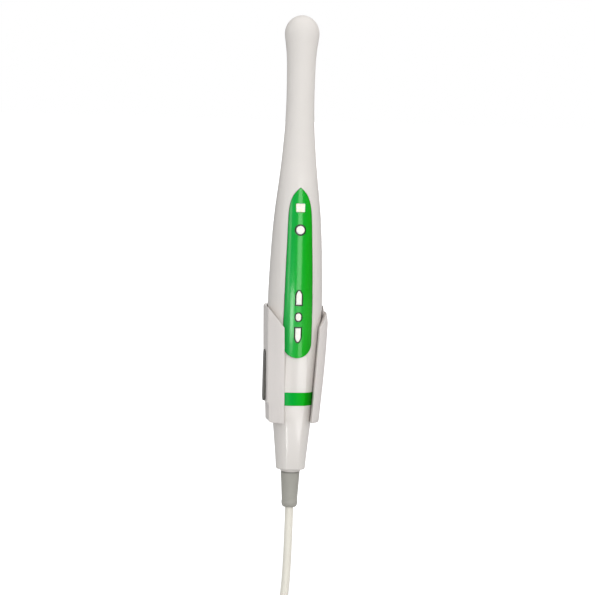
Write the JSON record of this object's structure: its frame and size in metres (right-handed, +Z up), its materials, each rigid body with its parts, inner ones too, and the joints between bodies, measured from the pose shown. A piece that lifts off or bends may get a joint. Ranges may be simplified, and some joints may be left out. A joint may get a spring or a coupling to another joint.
{
  "type": "intraoral camera",
  "caption": "Intraoral dental camera: slim white handpiece with a green button panel, held upright in an open-front side-mount cradle, with strain relief, thin cord and round plug.",
  "frame": {"origin": "middle of the outer face of the cradle's adhesive pad, where it fastens to a screen's edge", "axes": "+Z up along the handpiece, -Y towards the user (button side), -X out of the pad; the lens looks along +Y"},
  "size_m": [0.0602, 0.0744, 0.2833],
  "materials": {
    "shell_white": "smooth moulded, satin gloss",
    "panel_green": "high gloss",
    "window_white": "translucent diffuser",
    "button_white": "smooth moulded",
    "board_green": "solder mask",
    "board_white": "white solder mask",
    "chip_black": "moulded",
    "led_yellow": "phosphor",
    "screw_steel": "plated",
    "connector_ivory": "moulded nylon",
    "flex_amber": "polyimide film",
    "lens_black": "anodised black",
    "lens_glass": "coated",
    "window_clear": "clear, polished",
    "boot_grey": "soft moulded",
    "retainer_white": "moulded",
    "wire_colours": "insulated",
    "cradle_white": "smooth moulded, satin",
    "pad_foam": "closed-cell foam",
    "cord_cream": "smooth jacket",
    "tie_black": "hook-and-loop strap",
    "plug_grey": "moulded",
    "plug_metal": "nickel plated",
    "pin_gold": "gold flashed"
  },
  "bodies": {
    "holder": {"cradle": "cradle_white", "cradle_pad": "pad_foam", "cord_run": "cord_cream", "cord_coil": "cord_cream", "cord_end": "cord_cream", "cord_tie": "tie_black", "plug_boot": "boot_grey", "plug_grip": "plug_grey", "plug_shell": "plug_metal", "plug_insert": "chip_black", "plug_pins": "pin_gold"},
    "handpiece": {"front_shell": "shell_white", "back_shell": "shell_white", "tail_cone": "shell_white", "green_band": "panel_green", "button_panel": "panel_green", "indicator_window": "window_white", "main_board": "board_green", "sensor_board": "board_green", "led_board": "board_white", "tact_switches": "chip_black", "board_chips": "chip_black", "image_sensor": "chip_black", "indicator_led": "led_yellow", "white_leds": "led_yellow", "board_screws": "screw_steel", "shell_screw": "screw_steel", "wire_header": "connector_ivory", "flex_connector": "connector_ivory", "camera_flex": "flex_amber", "lens_holder": "lens_black", "lens_barrel": "lens_black", "front_lens": "lens_glass", "lens_window": "window_clear", "cord_boot": "boot_grey", "boot_retainer": "retainer_white", "signal_wires": "wire_colours"},
    "capture_button": {"capture_button": "button_white"},
    "up_button": {"up_button": "button_white"},
    "ok_button": {"ok_button": "button_white"},
    "down_button": {"down_button": "button_white"}
  },
  "joints": [
    {"name": "handpiece_lift", "type": "slide", "parent": "holder", "child": "handpiece", "axis": [0, 0, 1], "range_m": [0, 0.09]},
    {"name": "capture_press", "type": "slide", "parent": "handpiece", "child": "capture_button", "axis": [0, 1, 0], "range_m": [0, 0.0005], "stiffness_N_per_m": 800},
    {"name": "up_press", "type": "slide", "parent": "handpiece", "child": "up_button", "axis": [0, 1, 0], "range_m": [0, 0.0005], "stiffness_N_per_m": 800},
    {"name": "ok_press", "type": "slide", "parent": "handpiece", "child": "ok_button", "axis": [0, 1, 0], "range_m": [0, 0.0005], "stiffness_N_per_m": 800},
    {"name": "down_press", "type": "slide", "parent": "handpiece", "child": "down_button", "axis": [0, 1, 0], "range_m": [0, 0.0005], "stiffness_N_per_m": 800}
  ]
}
